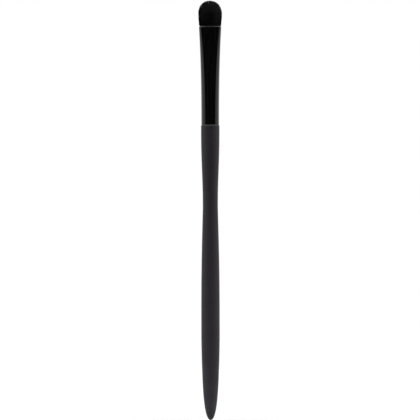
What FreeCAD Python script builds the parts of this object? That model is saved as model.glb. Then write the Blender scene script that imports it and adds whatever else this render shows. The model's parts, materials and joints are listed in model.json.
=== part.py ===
"""Eyeshadow brush, held upright: turned handle, pinched ferrule and domed hair tuft.

The brush stands on the Z axis with its hair up and the flat of its ferrule facing -Y. The
origin is in the middle of the handle's straight belly, where a stand holds the brush.
Sizes are in millimetres.

Each piece is drawn with its heights measured from the shoulder of the handle, where the
ferrule ends, and moved to the origin last: the ferrule and the hair stand above the
shoulder, and the handle hangs below it.
"""

import FreeCAD, Part
import math
import os

from FreeCAD import Placement, Rotation, Vector

# Handle, from its shoulder down to its tail
handle_length = 119.5
shoulder_length = 4.0
shoulder_diameter = 7.47
shoulder_round = 0.3
waist_distance = 32.5
waist_diameter = 6.1
belly_distance = 73.0
belly_length = 13.0
belly_diameter = 7.46
tenon_length = 14.0
tenon_chamfer = 0.8

# How far each swell of the handle runs on before it turns, as shares of the stretch
shoulder_to_waist_shares = (0.36, 0.36)
waist_to_belly_shares = (0.08, 0.50)
# Pulls of the tail's curve: share of its length, share of the belly's radius
tail_shares = ((0.07, 1.0), (0.33, 0.94), (0.76, 0.82), (1.0, 0.42))

# Ferrule, a round tube pressed flat at its mouth: both mouth sizes keep the girth of the tube
ferrule_length = 40.0
ferrule_diameter = 7.2
ferrule_wall = 0.4
ferrule_lip_round = 0.3
mouth_width = 9.1
mouth_thickness = 4.93
late_pinch_share = 0.45
edge_turn_share = 1 / 3
ferrule_section_shares = (0.0, 0.2, 0.4, 0.6, 0.8, 1.0)

# Free hair, beyond the mouth
hair_length = 10.5
hair_width = 9.68
hair_thickness = 5.5
hair_widest_height = 5.1
hair_bloom_height = 0.4
# The swell of the free hair: share of the rise to its widest, share of the widening
hair_swell_shares = ((0.15, 0.05), (0.45, 0.55), (0.75, 0.95), (1.0, 1.0))
dome_turn_shares = (0.22, 0.44, 0.63, 0.79, 0.91)

# Tied root of the hair, its thread and the glue, between the tenon and the mouth
tenon_glue_film = 0.15
air_gap = 3.0
root_glue_floor = 2.0
root_glue_wall = 0.2
neck_length = 5.0
flare_length = 4.0
hair_clearance = 0.08
thread_diameter = 0.3
thread_clearance = 0.03
thread_turns = 5

# Heights that follow from the stack inside the ferrule
root_glue_bottom = tenon_length + air_gap
neck_bottom = root_glue_bottom + root_glue_floor
neck_top = neck_bottom + neck_length
flare_top = neck_top + flare_length

HALF_TURN = math.pi
HALF_ROOT = math.sqrt(0.5)
CUBIC = 3
AXIS = Vector(0, 0, 1)

# An oval's edge arcs turn this far each side of its width, and its face arcs turn the rest
edge_turn = edge_turn_share * HALF_TURN
face_turn = HALF_TURN / 2 - edge_turn
arc_spread = math.sin(edge_turn) + math.cos(edge_turn) - 1
edge_shift_share = math.cos(edge_turn) / arc_spread
face_shift_share = math.sin(edge_turn) / arc_spread


def pinch(height):
    """Share of the mouth's flattening that the ferrule has reached at a height."""
    share = height / ferrule_length
    return share * share * (1 - late_pinch_share + late_pinch_share * share)


def ferrule_width(height):
    """Outer width of the ferrule at a height."""
    return ferrule_diameter + (mouth_width - ferrule_diameter) * pinch(height)


def ferrule_thickness(height):
    """Outer thickness of the ferrule at a height."""
    return ferrule_diameter + (mouth_thickness - ferrule_diameter) * pinch(height)


def bore_radius(height):
    """Largest radius that fits inside the ferrule at a height."""
    return ferrule_thickness(height) / 2 - ferrule_wall


thread_room_radius = bore_radius(neck_top) - root_glue_wall
neck_radius = thread_room_radius - thread_diameter - 2 * thread_clearance


def oval(width, thickness, height):
    """Closed section of four tangent arcs: two edges and two flatter faces."""
    half_width = width / 2
    half_thickness = thickness / 2
    flatness = half_width - half_thickness
    edge_centre = flatness * edge_shift_share
    edge_radius = half_width - edge_centre
    corner_x = edge_centre + edge_radius * math.cos(edge_turn)
    corner_y = edge_radius * math.sin(edge_turn)
    corners = [
        Vector(side * corner_x, face * corner_y, height)
        for side, face in ((1, -1), (1, 1), (-1, 1), (-1, -1))
    ]
    middles = [
        Vector(half_width, 0, height),
        Vector(0, half_thickness, height),
        Vector(-half_width, 0, height),
        Vector(0, -half_thickness, height),
    ]
    arcs = [
        Part.Arc(corners[i], middles[i], corners[i - 3]).toShape() for i in range(len(corners))
    ]
    return Part.Wire(arcs)


def ferrule_oval(height, inset):
    """Section of the ferrule at a height, drawn in by an inset."""
    return oval(
        ferrule_width(height) - 2 * inset, ferrule_thickness(height) - 2 * inset, height
    )


def ferrule_body(inset):
    """Solid of the ferrule's outer form, drawn in by an inset."""
    sections = [
        ferrule_oval(share * ferrule_length, inset) for share in ferrule_section_shares
    ]
    return Part.makeLoft(sections, True)


def between(bottom, top):
    """Slab across the whole ferrule between two heights."""
    reach = mouth_width + ferrule_diameter
    return Part.makeBox(2 * reach, 2 * reach, top - bottom, Vector(-reach, -reach, bottom))


def edges_at(solid, height):
    """Edges of a solid that lie in the plane at a height."""
    box_slack = ferrule_wall / 10
    return [
        edge
        for edge in solid.Edges
        if abs(edge.BoundBox.ZMin - height) < box_slack
        and abs(edge.BoundBox.ZMax - height) < box_slack
    ]


def swell(start, end, shares):
    """Curve between two points of the handle's outline that leaves and arrives along the axis."""
    run = end.z - start.z
    curve = Part.BezierCurve()
    curve.setPoles(
        [
            start,
            Vector(start.x, 0, start.z + shares[0] * run),
            Vector(end.x, 0, end.z - shares[1] * run),
            end,
        ]
    )
    return curve.toShape()


def tail(start):
    """Curve from the end of the belly to the rounded tip on the axis."""
    run = handle_length + start.z
    poles = [start]
    for along_share, radius_share in tail_shares:
        poles.append(Vector(radius_share * start.x, 0, start.z - along_share * run))
    poles.append(Vector(0, 0, -handle_length))
    spans = len(poles) - CUBIC
    ends = CUBIC + 1
    multiplicities = [ends] + [1] * (spans - 1) + [ends]
    curve = Part.BSplineCurve(poles, multiplicities, list(range(spans + 1)), False, CUBIC)
    return curve.toShape()


def tenon_outline():
    """Edges of the tenon's half outline, from the axis to the foot of the tenon."""
    foot = ferrule_diameter / 2 - ferrule_wall - tenon_glue_film
    front = bore_radius(tenon_length) - tenon_glue_film
    points = [
        Vector(0, 0, tenon_length),
        Vector(front - tenon_chamfer, 0, tenon_length),
        Vector(front, 0, tenon_length - tenon_chamfer),
        Vector(foot, 0, 0),
    ]
    return [Part.LineSegment(a, b).toShape() for a, b in zip(points, points[1:])]


def make_handle():
    """Handle turned from one piece of wood, with its tenon."""
    foot = ferrule_diameter / 2 - ferrule_wall - tenon_glue_film
    shoulder = shoulder_diameter / 2
    belly = belly_diameter / 2
    edge_centre = Vector(shoulder - shoulder_round, 0, -shoulder_round)
    edge_top = edge_centre + Vector(0, 0, shoulder_round)
    edge_middle = edge_centre + Vector(HALF_ROOT * shoulder_round, 0, HALF_ROOT * shoulder_round)
    edge_side = edge_centre + Vector(shoulder_round, 0, 0)
    shoulder_end = Vector(shoulder, 0, -shoulder_length)
    waist = Vector(waist_diameter / 2, 0, -waist_distance)
    belly_top = Vector(belly, 0, -belly_distance)
    belly_end = Vector(belly, 0, -belly_distance - belly_length)
    outline = tenon_outline() + [
        Part.LineSegment(Vector(foot, 0, 0), edge_top).toShape(),
        Part.Arc(edge_top, edge_middle, edge_side).toShape(),
        Part.LineSegment(edge_side, shoulder_end).toShape(),
        swell(shoulder_end, waist, shoulder_to_waist_shares),
        swell(waist, belly_top, waist_to_belly_shares),
        Part.LineSegment(belly_top, belly_end).toShape(),
        tail(belly_end),
        Part.LineSegment(Vector(0, 0, -handle_length), Vector(0, 0, tenon_length)).toShape(),
    ]
    return Part.Face(Part.Wire(outline)).revolve(Vector(0, 0, 0), AXIS, 360)


def make_ferrule():
    """Drawn tube with rounded lips, bored through at an even wall."""
    body = ferrule_body(0)
    lips = edges_at(body, 0) + edges_at(body, ferrule_length)
    body = body.makeFillet(ferrule_lip_round, lips)
    return body.cut(ferrule_body(ferrule_wall))


def free_hair():
    """Hair beyond the mouth: it opens over the lip, swells and closes in a dome."""
    sections = [ferrule_oval(ferrule_length, ferrule_wall + hair_clearance)]
    sections.append(oval(mouth_width, mouth_thickness, ferrule_length + hair_bloom_height))
    rise = hair_widest_height - hair_bloom_height
    for rise_share, swell_share in hair_swell_shares:
        sections.append(
            oval(
                mouth_width + (hair_width - mouth_width) * swell_share,
                mouth_thickness + (hair_thickness - mouth_thickness) * swell_share,
                ferrule_length + hair_bloom_height + rise_share * rise,
            )
        )
    dome_height = hair_length - hair_widest_height
    for share in dome_turn_shares:
        turn = share * HALF_TURN / 2
        height = ferrule_length + hair_widest_height + dome_height * math.sin(turn)
        sections.append(oval(hair_width * math.cos(turn), hair_thickness * math.cos(turn), height))
    sections.append(Part.Vertex(Vector(0, 0, ferrule_length + hair_length)))
    return Part.makeLoft(sections, True)


def make_hair_tuft():
    """Whole hair bundle: tied neck, flare, the stretch held by the ferrule and the free hair."""
    neck_top_oval = oval(2 * neck_radius, 2 * neck_radius, neck_top)
    flare_oval = ferrule_oval(flare_top, ferrule_wall + hair_clearance)
    neck = Part.makeCylinder(neck_radius, neck_length, Vector(0, 0, neck_bottom))
    flare = Part.makeLoft([neck_top_oval, flare_oval], True, True)
    held = ferrule_body(ferrule_wall + hair_clearance).common(between(flare_top, ferrule_length))
    return neck.fuse([flare, held, free_hair()]).removeSplitter()


def make_root_glue():
    """Cup of set glue round the tied neck, filling the ferrule from wall to wall."""
    plug = ferrule_body(ferrule_wall).common(between(root_glue_bottom, neck_top))
    room = Part.makeCylinder(thread_room_radius, neck_length, Vector(0, 0, neck_bottom))
    return plug.cut(room)


def make_tenon_glue(handle):
    """Sleeve of glue that fills the room between the tenon and the ferrule."""
    sleeve = ferrule_body(ferrule_wall).common(between(0, tenon_length - tenon_chamfer))
    return sleeve.cut(handle)


def thread_point(turn, radius, pitch, bottom):
    """Point and direction on the thread's centre line after a number of turns."""
    angle = turn * 2 * math.pi
    point = Vector(radius * math.cos(angle), radius * math.sin(angle), bottom + pitch * turn)
    along = Vector(-radius * math.sin(angle), radius * math.cos(angle), pitch / (2 * math.pi))
    return point, along.normalize()


def arc_between(start, corner, end):
    """Arc from start to end, tangent at both to the lines through their common corner."""
    chord_middle = (start + end) / 2
    half_chord = (end - start).Length / 2
    to_corner = corner - chord_middle
    bend = math.atan2(to_corner.Length, half_chord)
    middle = chord_middle + to_corner.normalize() * half_chord * math.tan(bend / 2)
    return Part.Arc(start, middle, end).toShape()


def biarc(start, start_along, end, end_along):
    """Two tangent arcs that join two points with given directions."""
    gap = end - start
    both = start_along + end_along
    a = both.dot(both) - 4
    b = -2 * gap.dot(both)
    c = gap.dot(gap)
    reach = (-b - math.sqrt(b * b - 4 * a * c)) / (2 * a)
    first_corner = start + start_along * reach
    second_corner = end - end_along * reach
    join = (first_corner + second_corner) / 2
    return [arc_between(start, first_corner, join), arc_between(join, second_corner, end)]


def make_binding_thread():
    """Thread wound round the tied neck in one open spiral."""
    pitch = (neck_length - 2 * thread_diameter) / thread_turns
    radius = neck_radius + thread_clearance + thread_diameter / 2
    bottom = neck_bottom + thread_diameter
    stops = [
        thread_point(quarter / 4, radius, pitch, bottom)
        for quarter in range(round(4 * thread_turns) + 1)
    ]
    edges = []
    for (start, start_along), (end, end_along) in zip(stops, stops[1:]):
        edges += biarc(start, start_along, end, end_along)
    gap = min(
        (stops[i][0] - stops[j][0]).Length
        for i in range(len(stops))
        for j in range(i + 3, len(stops))
    )
    print(f"binding thread: least gap between turns {gap - thread_diameter:.2f} mm")
    start, start_along = stops[0]
    section = Part.makeCircle(thread_diameter / 2, start, start_along)
    return Part.Wire(edges).makePipeShell([Part.Wire(section)], True, False)


def place(shape):
    """Move a piece so that the middle of the handle's belly is at the origin."""
    placed = shape.copy()
    placed.Placement = Placement(Vector(0, 0, belly_distance + belly_length / 2), Rotation())
    return placed


def main():
    """Build every piece, compare the girths of the ferrule's ends and write one file a piece."""
    handle = make_handle()
    pieces = {
        "handle": handle,
        "ferrule": make_ferrule(),
        "hair_tuft": make_hair_tuft(),
        "binding_thread": make_binding_thread(),
        "root_glue": make_root_glue(),
        "tenon_glue": make_tenon_glue(handle),
    }
    girths = [ferrule_oval(height, 0).Length for height in (0, ferrule_length)]
    print(f"ferrule: girth {girths[0]:.2f} mm at the handle, {girths[1]:.2f} mm at the mouth")
    os.makedirs("parts", exist_ok=True)
    for name, shape in pieces.items():
        place(shape).exportStep(f"parts/{name}.step")


main()
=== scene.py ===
"""Looks of the eyeshadow brush: finishes, hair, thread, studio and camera.

The brush stands on the Z axis with its hair up and its flat facing -Y, as the frame has it.
Lengths are in metres. Inside the trees that grow the ferrule and the hair they are in
millimetres, and the last step of each tree takes them to metres.
"""

import json
import logging
import math
from dataclasses import dataclass, field, fields
from enum import Enum
from functools import reduce
from typing import Any

import bmesh
import bpy
from mathutils import Euler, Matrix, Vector

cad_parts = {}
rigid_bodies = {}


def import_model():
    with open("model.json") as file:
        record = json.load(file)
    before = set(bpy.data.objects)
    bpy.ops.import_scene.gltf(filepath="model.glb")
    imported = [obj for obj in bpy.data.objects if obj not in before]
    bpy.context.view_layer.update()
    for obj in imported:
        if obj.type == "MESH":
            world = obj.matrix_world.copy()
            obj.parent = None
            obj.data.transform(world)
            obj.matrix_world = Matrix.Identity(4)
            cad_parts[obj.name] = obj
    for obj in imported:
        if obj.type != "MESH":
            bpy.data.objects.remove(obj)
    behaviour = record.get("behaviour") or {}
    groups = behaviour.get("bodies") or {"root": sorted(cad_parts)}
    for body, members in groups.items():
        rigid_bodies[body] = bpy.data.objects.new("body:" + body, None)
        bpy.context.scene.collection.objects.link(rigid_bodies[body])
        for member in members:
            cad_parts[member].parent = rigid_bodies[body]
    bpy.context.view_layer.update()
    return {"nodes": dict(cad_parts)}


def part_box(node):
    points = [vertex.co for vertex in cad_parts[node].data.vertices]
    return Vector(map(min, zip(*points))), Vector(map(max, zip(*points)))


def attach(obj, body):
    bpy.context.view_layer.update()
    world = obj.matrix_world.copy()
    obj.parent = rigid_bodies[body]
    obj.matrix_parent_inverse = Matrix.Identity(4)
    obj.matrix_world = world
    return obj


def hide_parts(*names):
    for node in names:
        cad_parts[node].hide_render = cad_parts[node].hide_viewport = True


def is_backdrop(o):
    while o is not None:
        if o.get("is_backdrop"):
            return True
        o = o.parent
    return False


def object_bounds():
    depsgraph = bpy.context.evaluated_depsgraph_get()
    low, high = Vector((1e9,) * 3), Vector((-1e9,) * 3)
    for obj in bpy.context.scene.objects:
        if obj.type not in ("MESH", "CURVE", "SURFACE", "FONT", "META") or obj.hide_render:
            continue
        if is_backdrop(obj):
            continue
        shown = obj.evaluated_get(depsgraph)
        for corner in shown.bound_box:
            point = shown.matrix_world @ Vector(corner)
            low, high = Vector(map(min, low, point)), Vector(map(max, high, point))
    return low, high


LOG = logging.getLogger("brush")
MM = 0.001
WELD = MM * MM
WHITE = (1.0, 1.0, 1.0, 1.0)

Socket = bpy.types.NodeSocket
Tree = bpy.types.NodeTree
Material = bpy.types.Material
Piece = bpy.types.Object
Colour = tuple[float, float, float]


class Node(Enum):
    """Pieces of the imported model."""

    HANDLE = "handle"
    FERRULE = "ferrule"
    HAIR = "hair_tuft"
    THREAD = "binding_thread"
    ROOT_GLUE = "root_glue"
    TENON_GLUE = "tenon_glue"


class Slot(Enum):
    """Finishes that the record names."""

    HANDLE = "handle_lacquer"
    FERRULE = "ferrule_gloss"
    HAIR = "hair"
    THREAD = "thread"
    GLUE = "glue"


class Body(Enum):
    """Bodies that pieces ride on."""

    BRUSH = "root"


class Family(Enum):
    """Kinds of node tree."""

    SHADER = "ShaderNodeTree"
    GEOMETRY = "GeometryNodeTree"


class Value(Enum):
    """Kinds of value that a group takes or gives."""

    NUMBER = "NodeSocketFloat"
    COUNT = "NodeSocketInt"
    VECTOR = "NodeSocketVector"
    SHAPE = "NodeSocketGeometry"
    PIECE = "NodeSocketObject"


class Data(Enum):
    """Kinds of value that points carry."""

    NUMBER = "FLOAT"
    VECTOR = "FLOAT_VECTOR"


class Ramp(Enum):
    """Ways to go from one level to another."""

    SMOOTH = "SMOOTHSTEP"
    STRAIGHT = "LINEAR"


class Draw(Enum):
    """Random draws for each hair, kept apart by their numbers."""

    UNEVEN = 1
    STRAY = 2
    LEAN = 3
    TONE = 4


def numbers(*labels: str) -> dict[str, Value]:
    """Sockets of a group that are plain numbers."""
    return dict.fromkeys(labels, Value.NUMBER)


@dataclass
class Graph:
    """A node tree with short ways to add and join its nodes."""

    tree: Tree

    @classmethod
    def group(
        cls, name: str, family: Family, inputs: dict[str, Value], outputs: dict[str, Value]
    ) -> "Graph":
        """Start a node group with named sockets.

        Args:
            name: Name of the group.
            family: Shader or geometry tree.
            inputs: Kind of value by input name.
            outputs: Kind of value by output name.

        Returns:
            The graph of the new group, with its input and output nodes.
        """
        graph = cls(bpy.data.node_groups.new(name, family.value))
        for way, sockets in (("INPUT", inputs), ("OUTPUT", outputs)):
            for label, kind in sockets.items():
                graph.tree.interface.new_socket(name=label, in_out=way, socket_type=kind.value)
        graph.add("NodeGroupInput")
        graph.add("NodeGroupOutput")
        return graph

    def add(self, kind: str, **settings: Any) -> bpy.types.Node:
        """Add a node.

        Args:
            kind: Type name of the node.
            settings: Properties of the node to set.

        Returns:
            The new node.
        """
        node = self.tree.nodes.new(kind)
        for label, value in settings.items():
            setattr(node, label, value)
        return node

    def first(self, kind: str) -> bpy.types.Node:
        """The first node of a type."""
        return next(node for node in self.tree.nodes if node.bl_idname == kind)

    def given(self, label: str) -> Socket:
        """One input of the group, as a source."""
        return self.first("NodeGroupInput").outputs[label]

    def put_out(self, label: str, value: Socket) -> None:
        """Join a source to one output of the group."""
        self.feed(self.first("NodeGroupOutput").inputs[label], value)

    def feed(self, target: Socket, value: Any) -> None:
        """Join a source to an input, or set the input to a plain value.

        Args:
            target: Input socket.
            value: Output socket, number, tuple, object or material.
        """
        if isinstance(value, Socket):
            self.tree.links.new(value, target)
        else:
            target.default_value = value

    def fill(self, node: bpy.types.Node, *values: Any) -> Socket:
        """Feed the first inputs of a node in their order.

        Args:
            node: The node.
            values: Values for its inputs.

        Returns:
            The node's first output.
        """
        for socket, value in zip(node.inputs, values):
            self.feed(socket, value)
        return node.outputs[0]

    def set(self, node: bpy.types.Node, **values: Any) -> bpy.types.Node:
        """Feed several inputs of a node by name.

        Args:
            node: The node.
            values: Value by input name, with _ for a space.

        Returns:
            The same node.
        """
        for label, value in values.items():
            self.feed(node.inputs[label.replace("_", " ")], value)
        return node

    def made(self, kind: str, settings: dict[str, Any] | None = None, **values: Any) -> Socket:
        """First output of a new node that has its settings and its inputs by name."""
        return self.set(self.add(kind, **(settings or {})), **values).outputs[0]

    def math(self, operation: str, first: Any, second: Any = 0.0) -> Socket:
        """Result of an operation on two values."""
        return self.fill(self.add("ShaderNodeMath", operation=operation), first, second)

    def chain(self, operation: str, *values: Any) -> Socket:
        """Result of one operation along several values, from the left."""
        return reduce(lambda result, value: self.math(operation, result, value), values)

    def total(self, *values: Any) -> Socket:
        """Sum of several values."""
        return self.chain("ADD", *values)

    def product(self, *values: Any) -> Socket:
        """Product of several values."""
        return self.chain("MULTIPLY", *values)

    def less(self, first: Any, second: Any) -> Socket:
        """The first value less the second."""
        return self.math("SUBTRACT", first, second)

    def step(
        self,
        value: Any,
        start: Any,
        end: Any,
        low: Any = 0.0,
        high: Any = 1.0,
        ramp: Ramp = Ramp.SMOOTH,
    ) -> Socket:
        """Level at a value: low up to the start, high from the end on, and a ramp between."""
        node = self.add("ShaderNodeMapRange", interpolation_type=ramp.value, clamp=True)
        return self.fill(node, value, start, end, low, high)

    def choose(self, test: Socket, yes: Any, no: Any) -> Socket:
        """The yes value where the test is one, otherwise the no value."""
        return self.total(self.product(yes, test), self.product(no, self.less(1.0, test)))

    def split(self, vector: Any) -> list[Socket]:
        """The three parts of a vector."""
        return list(self.set(self.add("ShaderNodeSeparateXYZ"), Vector=vector).outputs)

    def join(self, x: Any, y: Any, z: Any) -> Socket:
        """A vector from its three parts."""
        return self.fill(self.add("ShaderNodeCombineXYZ"), x, y, z)

    def metres(self, *parts: Socket) -> Socket:
        """A vector in metres from its three parts in millimetres."""
        return self.join(*(self.product(part, MM) for part in parts))

    def position(self) -> Socket:
        """Place of the point at hand."""
        return self.add("GeometryNodeInputPosition").outputs[0]

    def keep(self, shape: Socket, label: str, kind: Data, value: Socket) -> Socket:
        """The shape with a value stored on its points under a label."""
        node = self.add("GeometryNodeStoreNamedAttribute", data_type=kind.value, domain="POINT")
        return self.set(node, Geometry=shape, Name=label, Value=value).outputs[0]

    def use(self, tree: Tree, **values: Any) -> bpy.types.Node:
        """Node that places a group here and has its inputs by name."""
        kinds = {"SHADER": "ShaderNodeGroup", "GEOMETRY": "GeometryNodeGroup"}
        return self.set(self.add(kinds[self.tree.type], node_tree=tree), **values)

    def rays(self, *kinds: str) -> Socket:
        """One for rays of some kinds, such as Camera or Glossy."""
        path = self.add("ShaderNodeLightPath")
        return self.chain("MAXIMUM", *(path.outputs[f"Is {kind} Ray"] for kind in kinds))

    def mix_out(self, end: str, share: Socket, first: Socket, second: Socket) -> None:
        """Join two shaders to the tree's end node, mixed by the share of the second."""
        mix = self.fill(self.add("ShaderNodeMixShader"), share, first, second)
        self.set(self.first(end), Surface=mix)


def mottle_group() -> Tree:
    """Build the group for cloudy patches and fine grain in a lacquer or a glue.

    Returns:
        The shader group, which puts out Patch and Grain.
    """
    inputs = {"Vector": Value.VECTOR} | numbers("Patch Scale", "Grain Scale")
    graph = Graph.group("mottle", Family.SHADER, inputs, numbers("Patch", "Grain"))
    place = graph.given("Vector")
    for label, detail in (("Patch", 3.0), ("Grain", 2.0)):
        scale = graph.given(f"{label} Scale")
        noise = graph.made("ShaderNodeTexNoise", Vector=place, Scale=scale, Detail=detail)
        graph.put_out(label, noise)
    return graph.tree


def streak_group() -> Tree:
    """Build the group for fine lines that run along the brush.

    Returns:
        The shader group, which puts out Line.
    """
    inputs = {"Vector": Value.VECTOR} | numbers("Line Scale", "Stretch")
    graph = Graph.group("streaks", Family.SHADER, inputs, numbers("Line"))
    x, y, z = graph.split(graph.given("Vector"))
    place = graph.join(x, y, graph.math("DIVIDE", z, graph.given("Stretch")))
    scale = graph.given("Line Scale")
    graph.put_out("Line", graph.made("ShaderNodeTexNoise", Vector=place, Scale=scale, Detail=3.0))
    return graph.tree


def rim_group() -> Tree:
    """Build the group for a soft band round the brush at one height.

    Returns:
        The shader group, which puts out Mask.
    """
    inputs = {"Vector": Value.VECTOR} | numbers("Level", "Reach")
    graph = Graph.group("rim band", Family.SHADER, inputs, numbers("Mask"))
    height = graph.split(graph.given("Vector"))[2]
    away = graph.math("ABSOLUTE", graph.less(height, graph.given("Level")))
    graph.put_out("Mask", graph.step(away, 0.0, graph.given("Reach"), 1.0, 0.0))
    return graph.tree


def oval_group() -> Tree:
    """Build the group for a section of four tangent arcs, two edges and two flatter faces.

    The edges turn 60 degrees each side of the width. Angle is the direction that the
    section faces at a point, so a smaller oval at the same angle lies square inside it.

    Returns:
        The geometry group, which puts out X and Y.
    """
    inputs = numbers("Angle", "Half Width", "Half Thickness")
    graph = Graph.group("oval section", Family.GEOMETRY, inputs, numbers("X", "Y"))
    edge_turn = math.pi / 3
    spread = math.sin(edge_turn) + math.cos(edge_turn) - 1
    width, thickness = graph.given("Half Width"), graph.given("Half Thickness")
    across = graph.math("COSINE", graph.given("Angle"))
    through = graph.math("SINE", graph.given("Angle"))
    flatness = graph.less(width, thickness)
    edge_centre = graph.product(flatness, math.cos(edge_turn) / spread)
    face_centre = graph.product(flatness, math.sin(edge_turn) / spread)
    edge_radius = graph.less(width, edge_centre)
    face_radius = graph.total(thickness, face_centre)
    on_edge = graph.math("GREATER_THAN", graph.math("ABSOLUTE", across), math.cos(edge_turn))
    radius = graph.choose(on_edge, edge_radius, face_radius)
    side = graph.product(graph.math("SIGN", across), edge_centre, on_edge)
    off_edge = graph.less(1.0, on_edge)
    face = graph.product(graph.math("SIGN", through), face_centre, off_edge)
    graph.put_out("X", graph.total(side, graph.product(radius, across)))
    graph.put_out("Y", graph.less(graph.product(radius, through), face))
    return graph.tree


@dataclass
class Groups:
    """Node groups that several pieces share."""

    mottle: Tree = field(default_factory=mottle_group)
    streaks: Tree = field(default_factory=streak_group)
    rim: Tree = field(default_factory=rim_group)
    oval: Tree = field(default_factory=oval_group)


@dataclass
class Paint:
    """One material under way: its graph, its shader and the piece's own coordinates."""

    name: str

    # Places of the colour sockets in a Mix node.
    MIX_SHARE, MIX_FIRST, MIX_SECOND, MIX_RESULT = 0, 6, 7, 2

    def __post_init__(self) -> None:
        """Make the material and find its shader."""
        self.material = bpy.data.materials.new(self.name)
        self.material.use_nodes = True
        self.graph = Graph(self.material.node_tree)
        self.shader = self.graph.first("ShaderNodeBsdfPrincipled")
        self.place = self.graph.add("ShaderNodeTexCoord").outputs["Object"]

    def use(self, tree: Tree, **values: Any) -> list[Socket]:
        """Outputs of a shader group at the piece's own coordinates."""
        return list(self.graph.use(tree, Vector=self.place, **values).outputs)

    def carried(self, label: str) -> Socket:
        """Number that the mesh carries under a name."""
        return self.graph.add("ShaderNodeAttribute", attribute_name=label).outputs["Fac"]

    def blend(self, share: Socket, first: Colour | Socket, second: Colour) -> Socket:
        """Colour between two colours.

        Args:
            share: Share of the second colour.
            first: Colour where the share is zero.
            second: Colour where the share is one.

        Returns:
            The colour output.
        """
        node = self.graph.add("ShaderNodeMix", data_type="RGBA")
        base = first if isinstance(first, Socket) else (*first, 1.0)
        self.graph.feed(node.inputs[self.MIX_SHARE], share)
        self.graph.feed(node.inputs[self.MIX_FIRST], base)
        self.graph.feed(node.inputs[self.MIX_SECOND], (*second, 1.0))
        return node.outputs[self.MIX_RESULT]

    def gleam(self, level: float) -> None:
        """Set how strongly the whole surface mirrors; a plain lacquer has 0.5."""
        self.graph.set(self.shader, Specular_IOR_Level=level)

    def coat(self, colour: Socket, share: Socket, low: float, high: float) -> None:
        """Join a colour, and a roughness that goes from low to high as a share rises."""
        roughness = self.graph.step(share, 0.0, 1.0, low, high)
        self.graph.set(self.shader, Base_Color=colour, Roughness=roughness)

    def relief(self, height: Socket, depth: float, strength: float) -> None:
        """Raise the surface by a height from zero to one, which stands for a depth in metres."""
        values = {"Strength": strength, "Distance": depth, "Height": height}
        self.graph.set(self.shader, Normal=self.graph.made("ShaderNodeBump", **values))


@dataclass(frozen=True)
class SoftTouchLacquer:
    """Matt, rubbery dark lacquer of the handle, a little paler towards the tail: painted light
    where the floor's bounce falls.
    """

    dark: Colour = (0.0238, 0.0214, 0.0262)
    pale: Colour = (0.0325, 0.0294, 0.036)
    # Painted light: paler colour towards the tail, where light bounces up from the floor.
    rubbed: Colour = (0.0415, 0.0385, 0.0465)
    # Painted highlight on the shoulder's edge, where its rounding catches light.
    edge: Colour = (0.095, 0.093, 0.098)
    gleam: float = 0.13
    smooth: float = 0.48
    rough: float = 0.6
    patch_scale: float = 160.0
    grain_scale: float = 9000.0
    grain_depth: float = 0.00002
    grain_strength: float = 0.35
    rub_reach: float = 0.03
    edge_reach: float = 0.00045

    def material(self, groups: Groups, tail: float, shoulder: float) -> Material:
        """Make the lacquer.

        Args:
            groups: Shared node groups.
            tail: Height of the handle's tail.
            shoulder: Height of the shoulder, whose edge gets a painted highlight line.

        Returns:
            The material.
        """
        paint = Paint(Slot.HANDLE.value)
        patch, grain = paint.use(
            groups.mottle, Patch_Scale=self.patch_scale, Grain_Scale=self.grain_scale
        )
        # Painted light: the lacquer turns paler towards the tail, where the floor's bounce falls.
        (tail_light_mask,) = paint.use(groups.rim, Level=tail, Reach=self.rub_reach)
        # Painted highlight: a pale line round the shoulder's edge, where the rounding catches
        # light.
        (edge,) = paint.use(groups.rim, Level=shoulder, Reach=self.edge_reach)
        cloudy = paint.blend(patch, self.dark, self.pale)
        rubbed = paint.blend(paint.graph.product(tail_light_mask, patch), cloudy, self.rubbed)
        paint.coat(paint.blend(edge, rubbed, self.edge), patch, self.rough, self.smooth)
        paint.gleam(self.gleam)
        paint.relief(grain, self.grain_depth, self.grain_strength)
        return paint.material


@dataclass(frozen=True)
class GlossLacquer:
    """Gloss black lacquer of the ferrule, with faint drawing lines and a painted highlight along
    the mouth rim.
    """

    black: Colour = (0.0012, 0.0012, 0.0013)
    line: Colour = (0.004, 0.004, 0.0042)
    # Painted highlight of the mouth rim, where the rounded lip catches light.
    rim: Colour = (0.038, 0.038, 0.039)
    gleam: float = 0.36
    smooth: float = 0.05
    rough: float = 0.13
    line_scale: float = 1400.0
    line_stretch: float = 40.0
    line_from: float = 0.35
    line_to: float = 0.75
    line_depth: float = 0.000004
    line_strength: float = 0.25
    rim_reach: float = 0.0006
    rim_rough: float = 0.5

    def material(self, groups: Groups, mouth: float) -> Material:
        """Make the lacquer.

        Args:
            groups: Shared node groups.
            mouth: Height of the ferrule's mouth.

        Returns:
            The material.
        """
        paint = Paint(Slot.FERRULE.value)
        graph = paint.graph
        (lines,) = paint.use(groups.streaks, Line_Scale=self.line_scale, Stretch=self.line_stretch)
        # The band at the mouth paints a highlight line on the rim, and makes the rim rougher.
        (rim,) = paint.use(groups.rim, Level=mouth, Reach=self.rim_reach)
        line = graph.step(lines, self.line_from, self.line_to)
        colour = paint.blend(rim, paint.blend(line, self.black, self.line), self.rim)
        rough = graph.step(line, 0.0, 1.0, self.smooth, self.rough)
        rougher = graph.math("MAXIMUM", rough, graph.product(rim, self.rim_rough))
        paint.coat(colour, rougher, 0.0, 1.0)
        paint.gleam(self.gleam)
        paint.relief(lines, self.line_depth, self.line_strength)
        return paint.material


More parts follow.
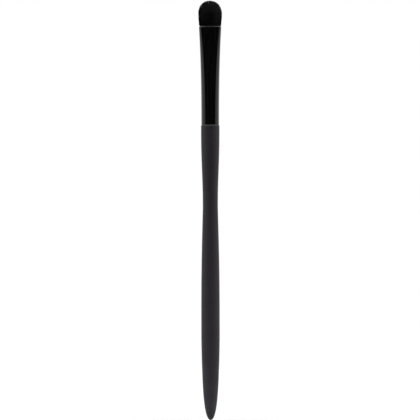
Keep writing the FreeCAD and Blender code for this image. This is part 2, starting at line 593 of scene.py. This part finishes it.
@dataclass(frozen=True)
class HairFinish:
    """Black synthetic filament: each hair has its own tone."""

    dark: Colour = (0.0024, 0.0024, 0.0026)
    pale: Colour = (0.026, 0.0256, 0.0264)
    gleam: float = 0.09
    pale_from: float = 0.5
    smooth: float = 0.38
    rough: float = 0.6
    line_scale: float = 9000.0
    line_stretch: float = 30.0
    line_depth: float = 0.00005
    line_strength: float = 0.6

    def material(self, groups: Groups) -> Material:
        """Make the finish of the single hairs, which carry their tone.

        Args:
            groups: Shared node groups.

        Returns:
            The material.
        """
        paint = Paint(Slot.HAIR.value)
        tone = paint.carried("tone")
        (line,) = paint.use(groups.streaks, Line_Scale=self.line_scale, Stretch=self.line_stretch)
        share = paint.graph.product(paint.graph.step(tone, self.pale_from, 1.0), line)
        paint.coat(paint.blend(share, self.dark, self.pale), tone, self.smooth, self.rough)
        paint.gleam(self.gleam)
        return paint.material

    def packed(self, groups: Groups) -> Material:
        """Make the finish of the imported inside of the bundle.

        Args:
            groups: Shared node groups.

        Returns:
            The material.
        """
        paint = Paint(f"{Slot.HAIR.value}_packed")
        (line,) = paint.use(groups.streaks, Line_Scale=self.line_scale, Stretch=self.line_stretch)
        paint.coat(paint.blend(line, self.dark, self.pale), line, self.smooth, self.rough)
        paint.gleam(self.gleam)
        paint.relief(line, self.line_depth, self.line_strength)
        return paint.material


@dataclass(frozen=True)
class ThreadFinish:
    """Off-white cotton thread with the twist of its plies, and painted shade darkening the grooves
    between them.
    """

    # Painted shade in the grooves between the plies.
    groove: Colour = (0.42, 0.4, 0.35)
    ply: Colour = (0.66, 0.64, 0.58)
    smooth: float = 0.75
    rough: float = 0.95
    twists: float = 480.0
    ply_depth: float = 0.00003
    ply_strength: float = 0.7

    def material(self) -> Material:
        """Make the thread's finish from its run and its way round.

        Returns:
            The material.
        """
        paint = Paint(Slot.THREAD.value)
        graph = paint.graph
        turns = graph.product(paint.carried("run"), self.twists)
        turn = graph.total(turns, paint.carried("around"))
        # The colour darkens towards the grooves: painted shade where the plies meet.
        share = graph.step(graph.math("SINE", graph.product(turn, 2 * math.pi)), -1.0, 1.0)
        paint.coat(paint.blend(share, self.groove, self.ply), share, self.rough, self.smooth)
        paint.relief(share, self.ply_depth, self.ply_strength)
        return paint.material


@dataclass(frozen=True)
class SetGlue:
    """Amber set glue, cloudy inside and smooth outside."""

    clear: Colour = (0.55, 0.42, 0.22)
    cloudy: Colour = (0.4, 0.29, 0.13)
    smooth: float = 0.14
    rough: float = 0.3
    patch_scale: float = 900.0
    grain_scale: float = 4000.0
    grain_depth: float = 0.00002
    grain_strength: float = 0.3

    def material(self, groups: Groups) -> Material:
        """Make the glue.

        Args:
            groups: Shared node groups.

        Returns:
            The material.
        """
        paint = Paint(Slot.GLUE.value)
        patch, grain = paint.use(
            groups.mottle, Patch_Scale=self.patch_scale, Grain_Scale=self.grain_scale
        )
        paint.coat(paint.blend(patch, self.clear, self.cloudy), patch, self.smooth, self.rough)
        paint.relief(grain, self.grain_depth, self.grain_strength)
        return paint.material


def show(obj: Piece) -> Piece:
    """Link an object to the scene."""
    bpy.context.scene.collection.objects.link(obj)
    return obj


def seat(obj: Piece, slot: Slot, *nodes: Node) -> None:
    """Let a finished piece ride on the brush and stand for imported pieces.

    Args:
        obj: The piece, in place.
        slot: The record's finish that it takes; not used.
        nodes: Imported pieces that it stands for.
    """
    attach(obj, Body.BRUSH.value)
    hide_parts(*(node.value for node in nodes))
    LOG.info("%s: %d faces", obj.name, len(obj.data.polygons))


def dress(obj: Piece, material: Material) -> None:
    """Give a piece one material in place of any that it has.

    Args:
        obj: The piece.
        material: Its finish.
    """
    obj.data.materials.clear()
    obj.data.materials.append(material)
    LOG.info("%s: dressed", obj.name)


def grow(
    name: str, tree: Tree, sizes: dict[str, Any], drawn: bpy.types.Mesh | None = None
) -> Piece:
    """Run a geometry tree and keep its result as a plain mesh.

    Args:
        name: Name of the piece.
        tree: The geometry tree.
        sizes: Value by name; those that the tree has no input for are left.
        drawn: Mesh that goes in, if the tree needs one.

    Returns:
        The piece, linked, at the origin and with no modifier.
    """
    start = drawn or bpy.data.meshes.new(f"{name}_start")
    carrier = show(bpy.data.objects.new(f"{name}_start", start))
    modifier = carrier.modifiers.new("growth", "NODES")
    modifier.node_group = tree
    for item in tree.interface.items_tree:
        if item.in_out == "INPUT" and item.name in sizes:
            modifier[item.identifier] = sizes[item.name]
    bpy.context.view_layer.update()
    grown = carrier.evaluated_get(bpy.context.evaluated_depsgraph_get())
    mesh = bpy.data.meshes.new_from_object(grown)
    mesh.name = name
    bpy.data.objects.remove(carrier)
    bpy.data.meshes.remove(start)
    return show(bpy.data.objects.new(name, mesh))


def finish_shape(graph: Graph, shape: Socket, material: Material, sharp: float) -> Socket:
    """End a geometry tree: smooth faces, sharp corners, plain mesh and finish.

    Args:
        graph: The geometry tree.
        shape: What the tree has made.
        material: Finish of the piece.
        sharp: Angle in degrees past which an edge stays sharp.

    Returns:
        The finished shape.
    """
    shading = "GeometryNodeSetShadeSmooth"
    smooth = graph.made(shading, {"domain": "FACE"}, Geometry=shape, Shade_Smooth=True)
    angle = graph.add("GeometryNodeInputMeshEdgeAngle").outputs["Unsigned Angle"]
    past = graph.math("GREATER_THAN", angle, math.radians(sharp))
    corners = {"Geometry": smooth, "Selection": past, "Shade_Smooth": False}
    real = graph.made(
        "GeometryNodeRealizeInstances", Geometry=graph.made(shading, {"domain": "EDGE"}, **corners)
    )
    return graph.made("GeometryNodeSetMaterial", Geometry=real, Material=material)


@dataclass
class SubAssembly:
    """What a sub-assembly has at hand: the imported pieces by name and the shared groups."""

    nodes: dict[str, Piece]
    groups: Groups

    def sizes(self) -> dict[str, float]:
        """Collect the numbers among the fields; held_width becomes Held Width.

        Returns:
            Number by the name of the group input that takes it.
        """
        return {
            item.name.replace("_", " ").title(): getattr(self, item.name)
            for item in fields(self)
            if item.type in (float, int)
        }


@dataclass
class Handle(SubAssembly):
    """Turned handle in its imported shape, less any face of no area, and its lacquer."""

    no_area: float = 1e-16
    lacquer: SoftTouchLacquer = field(default_factory=SoftTouchLacquer)

    def build(self) -> None:
        """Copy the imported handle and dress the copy."""
        low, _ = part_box(Node.HANDLE.value)
        shoulder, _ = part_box(Node.FERRULE.value)
        mesh = self.nodes[Node.HANDLE.value].data.copy()
        mesh.name = "handle_turned"
        form = bmesh.new()
        form.from_mesh(mesh)
        empty = [face for face in form.faces if face.calc_area() < self.no_area]
        bmesh.ops.delete(form, geom=empty, context="FACES_ONLY")
        form.to_mesh(mesh)
        form.free()
        turned = show(bpy.data.objects.new(mesh.name, mesh))
        dress(turned, self.lacquer.material(self.groups, low.z, shoulder.z))
        seat(turned, Slot.HANDLE, Node.HANDLE)


@dataclass
class Ferrule(SubAssembly):
    """Drawn tube, round at the handle and pressed flat at its mouth. Sizes in millimetres."""

    length: float = 40.0
    diameter: float = 7.2
    wall: float = 0.4
    lip_round: float = 0.3
    mouth_width: float = 9.1
    mouth_thickness: float = 4.93
    late_pinch: float = 0.45
    steps_round: int = 168
    steps_along: int = 64
    lip_steps: int = 7
    lacquer: GlossLacquer = field(default_factory=GlossLacquer)

    END_SHARE = 0.002
    SHARP = 50.0

    def outline(self) -> bpy.types.Mesh:
        """Draw the wall's closed outline: inset from the outer face as X, height as Z.

        Returns:
            A mesh of one closed line.
        """
        quarter = [step / self.lip_steps * math.pi / 2 for step in range(self.lip_steps + 1)]
        lip = [
            (self.lip_round * (1 - math.cos(turn)), self.lip_round * (1 - math.sin(turn)))
            for turn in quarter
        ]
        steps = (step / self.steps_along for step in range(1, self.steps_along))
        shares = [self.END_SHARE, *steps, 1 - self.END_SHARE]
        straight = self.length - 2 * self.lip_round
        points = [(0.0, self.lip_round + straight * share) for share in shares]
        points += [(inset, self.length - drop) for inset, drop in lip]
        points += [(self.wall, self.length * share) for share in (1.0, *reversed(shares), 0.0)]
        points += reversed(lip)
        count = len(points)
        mesh = bpy.data.meshes.new("ferrule_outline")
        edges = [(i, (i + 1) % count) for i in range(count)]
        mesh.from_pydata([(inset, 0.0, height) for inset, height in points], edges, [])
        return mesh

    def tree(self, material: Material) -> Tree:
        """Build the tree that carries the wall's outline round the pinched sections.

        Args:
            material: Finish of the tube.

        Returns:
            The geometry tree.
        """
        inputs = {"Outline": Value.SHAPE, "Steps Round": Value.COUNT} | numbers(
            "Length", "Diameter", "Mouth Width", "Mouth Thickness", "Late Pinch", "Foot"
        )
        graph = Graph.group("pinched tube", Family.GEOMETRY, inputs, {"Tube": Value.SHAPE})
        outline = graph.given("Outline")
        size = graph.add("GeometryNodeAttributeDomainSize", component="MESH")
        graph.fill(size, outline)
        corners = size.outputs["Point Count"]
        net = graph.made(
            "GeometryNodeMeshGrid",
            Size_X=1.0,
            Size_Y=1.0,
            Vertices_X=graph.total(graph.given("Steps Round"), 1.0),
            Vertices_Y=graph.total(corners, 1.0),
        )
        position = graph.position()
        across, along, _ = graph.split(position)
        angle = graph.product(graph.total(across, 0.5), 2 * math.pi)
        stop = graph.math("ROUND", graph.product(graph.total(along, 0.5), corners))
        drawn = graph.made(
            "GeometryNodeSampleIndex",
            {"data_type": Data.VECTOR.value, "domain": "POINT"},
            Geometry=outline,
            Value=position,
            Index=graph.math("FLOORED_MODULO", stop, corners),
        )
        inset, _, height = graph.split(drawn)
        x, y = self.section(graph, angle, inset, height)
        place = graph.metres(x, y, graph.total(height, graph.given("Foot")))
        placed = graph.made("GeometryNodeSetPosition", Geometry=net, Position=place)
        closed = graph.made("GeometryNodeMergeByDistance", Geometry=placed, Distance=WELD)
        graph.put_out("Tube", finish_shape(graph, closed, material, self.SHARP))
        return graph.tree

    def section(
        self, graph: Graph, angle: Socket, inset: Socket, height: Socket
    ) -> tuple[Socket, Socket]:
        """Work out a point of the tube from its place on the outline.

        Args:
            graph: The tube's tree.
            angle: Direction that the section faces at the point.
            inset: How far the point lies inside the outer face.
            height: Height of the point above the foot of the tube.

        Returns:
            The point's X and Y.
        """
        late, round_size = graph.given("Late Pinch"), graph.given("Diameter")
        share = graph.math("DIVIDE", height, graph.given("Length"))
        rise = graph.total(graph.less(1.0, late), graph.product(late, share))
        pinch = graph.product(share, share, rise)
        halves = []
        for label in ("Mouth Width", "Mouth Thickness"):
            change = graph.less(graph.given(label), round_size)
            full = graph.total(round_size, graph.product(change, pinch))
            halves.append(graph.less(graph.product(full, 0.5), inset))
        values = {"Angle": angle, "Half_Width": halves[0], "Half_Thickness": halves[1]}
        point = graph.use(self.groups.oval, **values)
        return point.outputs["X"], point.outputs["Y"]

    def build(self) -> None:
        """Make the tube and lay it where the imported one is."""
        low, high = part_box(Node.FERRULE.value)
        tree = self.tree(self.lacquer.material(self.groups, high.z))
        sizes = self.sizes() | {"Foot": low.z / MM}
        seat(grow("ferrule_tube", tree, sizes, self.outline()), Slot.FERRULE, Node.FERRULE)


@dataclass
class HairTuft(SubAssembly):
    """Hair bundle: single hairs that end on the dome, round a packed inside. Millimetres."""

    held_width: float = 8.06
    held_thickness: float = 3.89
    lip_width: float = 9.0
    lip_thickness: float = 4.83
    full_width: float = 9.58
    full_thickness: float = 5.4
    mouth_height: float = 119.5
    held_depth: float = 1.2
    bloom_height: float = 0.4
    swell_height: float = 4.6
    spacing: float = 0.08
    hair_radius: float = 0.05
    tip_taper: float = 0.4
    uneven: float = 0.12
    tilt: float = 0.03
    square: float = 0.35
    lean: float = 0.065
    stray_share: float = 0.0012
    stray_length: float = 0.3
    seed: int = 11
    finish: HairFinish = field(default_factory=HairFinish)

    SIDES = 3
    SEGMENTS = 8
    MOUTH_RING = 1
    LIP_RING = 3
    SHARP = 125.0
    DISC_CORNERS = 144
    MOST_ROOTS = 700.0
    SQUARE_FROM = 0.25
    RAY_START = 1000.0
    RAY_LENGTH = 2.0
    INSIDE_DRAW = 0.1
    INSIDE_DROP = 0.09

    def tree(self, material: Material) -> Tree:
        """Build the tree that sets hairs in the mouth and grows them up to the dome.

        Args:
            material: Finish of the hairs.

        Returns:
            The geometry tree.
        """
        inputs = numbers(*self.sizes()) | {"Seed": Value.COUNT, "Dome": Value.PIECE}
        graph = Graph.group("bristles", Family.GEOMETRY, inputs, {"Hair": Value.SHAPE})
        points = self.roots(graph)
        lean = self.chance(graph, Draw.LEAN, Data.VECTOR, (-1.0,) * 3, (1.0,) * 3)
        for label, kind, value in (
            ("root", Data.VECTOR, graph.position()),
            ("tip", Data.NUMBER, self.tips(graph)),
            ("lean", Data.VECTOR, lean),
            ("tone", Data.NUMBER, self.chance(graph, Draw.TONE, Data.NUMBER, 0.0, 1.0)),
        ):
            points = graph.keep(points, label, kind, value)
        hair = graph.made(
            "GeometryNodeMeshCone",
            {"fill_type": "NGON"},
            Vertices=self.SIDES,
            Side_Segments=self.SEGMENTS,
            Radius_Top=graph.given("Tip Taper"),
            Radius_Bottom=1.0,
            Depth=1.0,
        )
        planted = graph.made("GeometryNodeInstanceOnPoints", Points=points, Instance=hair)
        real = graph.made("GeometryNodeRealizeInstances", Geometry=planted)
        bent = graph.made("GeometryNodeSetPosition", Geometry=real, Position=self.bend(graph))
        graph.put_out("Hair", finish_shape(graph, bent, material, self.SHARP))
        return graph.tree

    def chance(self, graph: Graph, draw: Draw, kind: Data, low: Any, high: Any) -> Socket:
        """One random value for each hair.

        Args:
            graph: The hair's tree.
            draw: Which draw it is.
            kind: Number or vector.
            low: Lowest value.
            high: Highest value.

        Returns:
            The random value.
        """
        node = graph.add("FunctionNodeRandomValue", data_type=kind.value)
        ends = [socket for socket in node.inputs if socket.enabled]
        ends[0].default_value, ends[1].default_value = low, high
        graph.set(node, Seed=graph.total(graph.given("Seed"), float(draw.value)))
        return next(socket for socket in node.outputs if socket.enabled)

    def roots(self, graph: Graph) -> Socket:
        """Scatter the roots evenly over the mouth's inner oval.

        Args:
            graph: The hair's tree.

        Returns:
            The points.
        """
        disc = graph.made(
            "GeometryNodeMeshCircle", {"fill_type": "NGON"}, Vertices=self.DISC_CORNERS, Radius=1.0
        )
        x, y, _ = graph.split(graph.position())
        point = graph.use(
            self.groups.oval,
            Angle=graph.math("ARCTAN2", y, x),
            Half_Width=graph.product(graph.given("Held Width"), 0.5),
            Half_Thickness=graph.product(graph.given("Held Thickness"), 0.5),
        )
        spot = graph.join(point.outputs["X"], point.outputs["Y"], 0.0)
        return graph.made(
            "GeometryNodeDistributePointsOnFaces",
            {"distribute_method": "POISSON"},
            Mesh=graph.made("GeometryNodeSetPosition", Geometry=disc, Position=spot),
            Distance_Min=graph.given("Spacing"),
            Density_Max=self.MOST_ROOTS,
            Seed=graph.given("Seed"),
        )

    def spread(self, graph: Graph, way: str, bloom: Any, swell: Any) -> Socket:
        """How much wider the bundle is than in the mouth.

        Args:
            graph: The hair's tree.
            way: Width or Thickness.
            bloom: Share of the opening over the lip.
            swell: Share of the swell above it.

        Returns:
            The ratio.
        """
        held, lip, full = (graph.given(f"{level} {way}") for level in ("Held", "Lip", "Full"))
        opened = graph.product(graph.less(lip, held), bloom)
        swollen = graph.product(graph.less(full, lip), swell)
        return graph.math("DIVIDE", graph.total(held, opened, swollen), held)

    def tips(self, graph: Graph) -> Socket:
        """Find how high above the mouth each hair ends: at the dome, a little unevenly.

        Args:
            graph: The hair's tree.

        Returns:
            The height of the tip.
        """
        x, y, _ = graph.split(graph.position())
        mouth = graph.given("Mouth Height")
        dome = graph.add("GeometryNodeObjectInfo")
        graph.set(dome, Object=graph.given("Dome"))
        wide = [
            graph.product(part, self.spread(graph, way, 1.0, 1.0))
            for part, way in ((x, "Width"), (y, "Thickness"))
        ]
        ray = graph.set(
            graph.add("GeometryNodeRaycast"),
            Target_Geometry=dome.outputs["Geometry"],
            Source_Position=graph.metres(*wide, graph.total(mouth, self.RAY_START)),
            Ray_Direction=(0.0, 0.0, -1.0),
            Ray_Length=self.RAY_LENGTH,
        )
        top = graph.math("DIVIDE", graph.split(ray.outputs["Hit Position"])[2], MM)
        reach = graph.less(top, mouth)
        reach = graph.choose(ray.outputs["Is Hit"], reach, graph.given("Swell Height"))
        ragged = self.chance(graph, Draw.UNEVEN, Data.NUMBER, -0.5, 0.5)
        short = graph.product(ragged, graph.given("Uneven"))
        short = graph.total(short, graph.product(x, graph.given("Tilt")))
        out = graph.math("DIVIDE", x, graph.product(graph.given("Held Width"), 0.5))
        out = graph.product(out, out)
        inside = graph.less(1.0, graph.product(out, out))
        corner = graph.product(graph.less(out, self.SQUARE_FROM), inside)
        short = graph.less(short, graph.product(corner, graph.given("Square")))
        draw = self.chance(graph, Draw.STRAY, Data.NUMBER, 0.0, 1.0)
        stray = graph.math("LESS_THAN", draw, graph.given("Stray Share"))
        extra = graph.product(stray, graph.given("Stray Length"))
        return graph.total(graph.less(reach, short), extra)

    def bend(self, graph: Graph) -> Socket:
        """Place each point of a hair: held in the mouth, open over the lip, up to the tip.

        Args:
            graph: The hair's tree.

        Returns:
            The place, in metres.
        """
        stored = {}
        for label, kind in (("root", Data.VECTOR), ("tip", Data.NUMBER), ("lean", Data.VECTOR)):
            node = graph.add("GeometryNodeInputNamedAttribute", data_type=kind.value)
            stored[label] = graph.set(node, Name=label).outputs["Attribute"]
        root, lean = graph.split(stored["root"]), graph.split(stored["lean"])
        here = graph.split(graph.position())
        along = here[2]
        bloom_height = graph.given("Bloom Height")
        at_mouth, at_lip = self.MOUTH_RING / self.SEGMENTS, self.LIP_RING / self.SEGMENTS
        height = graph.total(
            *(
                graph.product(graph.step(along, *ends, Ramp.STRAIGHT), length)
                for ends, length in (
                    ((0.0, at_mouth, -1.0, 0.0), graph.given("Held Depth")),
                    ((at_mouth, at_lip, 0.0, 1.0), bloom_height),
                    ((at_lip, 1.0, 0.0, 1.0), graph.less(stored["tip"], bloom_height)),
                )
            )
        )
        bloom = graph.step(height, 0.0, bloom_height)
        swell = graph.step(height, bloom_height, graph.given("Swell Height"))
        sway = graph.product(along, along, graph.given("Lean"))
        parts = []
        for axis, way in ((0, "Width"), (1, "Thickness")):
            centre = graph.product(root[axis], self.spread(graph, way, bloom, swell))
            side = graph.less(here[axis], root[axis])
            thick = graph.product(side, graph.given("Hair Radius"))
            parts.append(graph.total(centre, graph.product(lean[axis], sway), thick))
        return graph.metres(*parts, graph.total(height, graph.given("Mouth Height")))

    def packed_inside(self) -> None:
        """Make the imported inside: the whole bundle, drawn in a little above the mouth."""
        mouth = self.mouth_height * MM
        form = bmesh.new()
        form.from_mesh(self.nodes[Node.HAIR.value].data)
        bmesh.ops.remove_doubles(form, verts=form.verts, dist=WELD)
        for vert in form.verts:
            x, y, z = vert.co
            rise = max(z - mouth, 0.0)
            draw = 1 - self.INSIDE_DRAW * min(rise / (self.bloom_height * MM), 1.0)
            vert.co = Vector((x * draw, y * draw, z - self.INSIDE_DROP * rise))
        mesh = bpy.data.meshes.new("hair_packed")
        form.to_mesh(mesh)
        form.free()
        if "custom_normal" in mesh.attributes:
            mesh.attributes.remove(mesh.attributes["custom_normal"])
        mesh.shade_smooth()
        inside = show(bpy.data.objects.new("hair_packed", mesh))
        dress(inside, self.finish.packed(self.groups))
        seat(inside, Slot.HAIR, Node.HAIR)

    def build(self) -> None:
        """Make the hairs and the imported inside."""
        tree = self.tree(self.finish.material(self.groups))
        sizes = self.sizes() | {"Dome": self.nodes[Node.HAIR.value]}
        hairs = grow("hair_bristles", tree, sizes)
        for label in ("root", "tip", "lean"):
            hairs.data.attributes.remove(hairs.data.attributes[label])
        seat(hairs, Slot.HAIR, Node.HAIR)
        self.packed_inside()


@dataclass
class TiedRoot(SubAssembly):
    """Close turns of thread round the root of the hair, and the glue. Sizes in metres."""

    thread_radius: float = 0.00015
    pitch: float = 0.00031
    steps_a_turn: int = 40
    sides: int = 8
    thread: ThreadFinish = field(default_factory=ThreadFinish)
    glue: SetGlue = field(default_factory=SetGlue)

    SHARP = 60.0

    def tree(self, material: Material) -> Tree:
        """Build the tree that winds the thread.

        Args:
            material: Finish of the thread.

        Returns:
            The geometry tree.
        """
        inputs = numbers("Turns", "Radius", "Height", "Foot", "Thread Radius")
        inputs |= {"Steps A Turn": Value.COUNT, "Sides": Value.COUNT}
        graph = Graph.group("thread turns", Family.GEOMETRY, inputs, {"Thread": Value.SHAPE})
        spiral = graph.made(
            "GeometryNodeCurveSpiral",
            Resolution=graph.given("Steps A Turn"),
            Rotations=graph.given("Turns"),
            Start_Radius=graph.given("Radius"),
            End_Radius=graph.given("Radius"),
            Height=graph.given("Height"),
        )
        lift = graph.join(0.0, 0.0, graph.given("Foot"))
        raised = graph.made("GeometryNodeSetPosition", Geometry=spiral, Offset=lift)
        section = graph.made(
            "GeometryNodeCurvePrimitiveCircle",
            Resolution=graph.given("Sides"),
            Radius=graph.given("Thread Radius"),
        )
        share = graph.add("GeometryNodeSplineParameter").outputs["Factor"]
        wound = graph.made(
            "GeometryNodeCurveToMesh",
            Curve=graph.keep(raised, "run", Data.NUMBER, share),
            Profile_Curve=graph.keep(section, "around", Data.NUMBER, share),
            Fill_Caps=True,
        )
        graph.put_out("Thread", finish_shape(graph, wound, material, self.SHARP))
        return graph.tree

    def build(self) -> None:
        """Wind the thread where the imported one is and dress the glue."""
        low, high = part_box(Node.THREAD.value)
        height = high.z - low.z - 2 * self.thread_radius
        sizes = self.sizes() | {
            "Turns": float(int(height / self.pitch)),
            "Radius": (high.x - low.x) / 2 - self.thread_radius,
            "Height": height,
            "Foot": low.z + self.thread_radius,
        }
        winding = grow("thread_winding", self.tree(self.thread.material()), sizes)
        seat(winding, Slot.THREAD, Node.THREAD)
        glue = self.glue.material(self.groups)
        for node in (Node.ROOT_GLUE, Node.TENON_GLUE):
            dress(self.nodes[node.value], glue)


@dataclass
class Studio:
    """White floor, white surroundings with a dark camera side, soft lamps and the camera."""

    floor_reach: float = 0.6
    floor_front: float = 0.15
    floor_tone: float = 0.95
    floor_glow: float = 0.55
    floor_glow_strength: float = 1.12
    glow_from: float = 0.05
    glow_to: float = 0.3
    dark_side: float = 0.03
    white_from: float = -0.38
    white_to: float = -0.27
    dim_top: float = 0.25
    dim_from: float = 0.25
    dim_to: float = 0.8
    lamp_power: float = 7.0
    lamp_size: float = 0.6
    lamp_side: float = 0.78
    lamp_depth: float = -0.27
    lamp_height: float = 0.72
    lens: float = 400.0
    sensor: float = 36.0
    picture_width: float = 0.1701
    centre_height: float = 0.04509
    side_shift: float = -0.00014
    roll: float = 0.08

    def floor(self) -> None:
        """Lay the floor at the tail of the brush; far from it, the floor glows white."""
        low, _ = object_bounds()
        reach, front = self.floor_reach, -self.floor_front
        corners = ((-reach, front), (reach, front), (reach, reach), (-reach, reach))
        mesh = bpy.data.meshes.new("floor")
        mesh.from_pydata([(x, y, low.z) for x, y in corners], [], [(0, 1, 2, 3)])
        material = bpy.data.materials.new("floor")
        material.use_nodes = True
        graph = Graph(material.node_tree)
        graph.tree.nodes.remove(graph.first("ShaderNodeBsdfPrincipled"))
        matt = graph.made("ShaderNodeBsdfDiffuse", Color=(*(self.floor_tone,) * 3, 1.0))
        glow = graph.made("ShaderNodeEmission", Strength=self.floor_glow_strength)
        x, y, _ = graph.split(graph.add("ShaderNodeTexCoord").outputs["Object"])
        away = graph.math("SQRT", graph.total(graph.product(x, x), graph.product(y, y)))
        share = graph.step(away, self.glow_from, self.glow_to, self.floor_glow, 1.0)
        seen = graph.product(graph.rays("Camera", "Glossy", "Transmission"), share)
        graph.mix_out("ShaderNodeOutputMaterial", seen, matt, glow)
        mesh.materials.append(material)
        show(bpy.data.objects.new("floor", mesh))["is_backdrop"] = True

    def world(self) -> None:
        """Make the surroundings: white behind and at the sides, dark on the camera side."""
        world = bpy.data.worlds.new("surroundings")
        bpy.context.scene.world = world
        world.use_nodes = True
        graph = Graph(world.node_tree)
        direction = graph.add("ShaderNodeTexCoord").outputs["Generated"]
        _, depth, height = graph.split(direction)
        level = graph.step(depth, self.white_from, self.white_to, self.dark_side, 1.0)
        top = graph.step(height, self.dim_from, self.dim_to, 1.0, self.dim_top)
        around = graph.first("ShaderNodeBackground")
        graph.set(around, Color=WHITE, Strength=graph.product(level, top))
        white = graph.made("ShaderNodeBackground", Color=WHITE)
        behind = graph.step(depth, self.white_from, self.white_to)
        mirrored = graph.product(graph.rays("Glossy", "Transmission"), behind)
        seen = graph.math("MAXIMUM", graph.rays("Camera"), mirrored)
        graph.mix_out("ShaderNodeOutputWorld", seen, around.outputs[0], white)

    def lamps(self) -> None:
        """Hang a soft lamp high on each side."""
        for side in (-self.lamp_side, self.lamp_side):
            light = bpy.data.lights.new("soft_box", "AREA")
            light.shape = "DISK"
            light.size = self.lamp_size
            light.energy = self.lamp_power
            lamp = show(bpy.data.objects.new("soft_box", light))
            lamp.location = (side, self.lamp_depth, self.lamp_height)
            aim = Vector((0.0, 0.0, self.centre_height)) - lamp.location
            lamp.rotation_euler = aim.to_track_quat("-Z", "Y").to_euler()

    def camera(self) -> None:
        """Set the camera level in front of the brush."""
        lens = bpy.data.cameras.new("camera")
        lens.lens = self.lens
        lens.sensor_width = self.sensor
        camera = show(bpy.data.objects.new("camera", lens))
        distance = self.picture_width * self.lens / self.sensor
        camera.location = (self.side_shift, -distance, self.centre_height)
        camera.rotation_euler = Euler((math.pi / 2, math.radians(self.roll), 0.0))
        bpy.context.scene.camera = camera

    def build(self) -> None:
        """Make the whole studio."""
        self.floor()
        self.world()
        self.lamps()
        self.camera()
        bpy.context.scene.view_settings.view_transform = "Standard"
        LOG.info("studio: set")


def main() -> None:
    """Dress the brush piece by piece and set up the studio."""
    logging.basicConfig(level=logging.INFO, format="%(name)s: %(message)s")
    for obj in list(bpy.data.objects):
        bpy.data.objects.remove(obj)
    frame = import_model()
    groups = Groups()
    for kind in (Handle, Ferrule, HairTuft, TiedRoot):
        kind(frame["nodes"], groups).build()
    Studio().build()


if __name__ == "__main__":
    main()
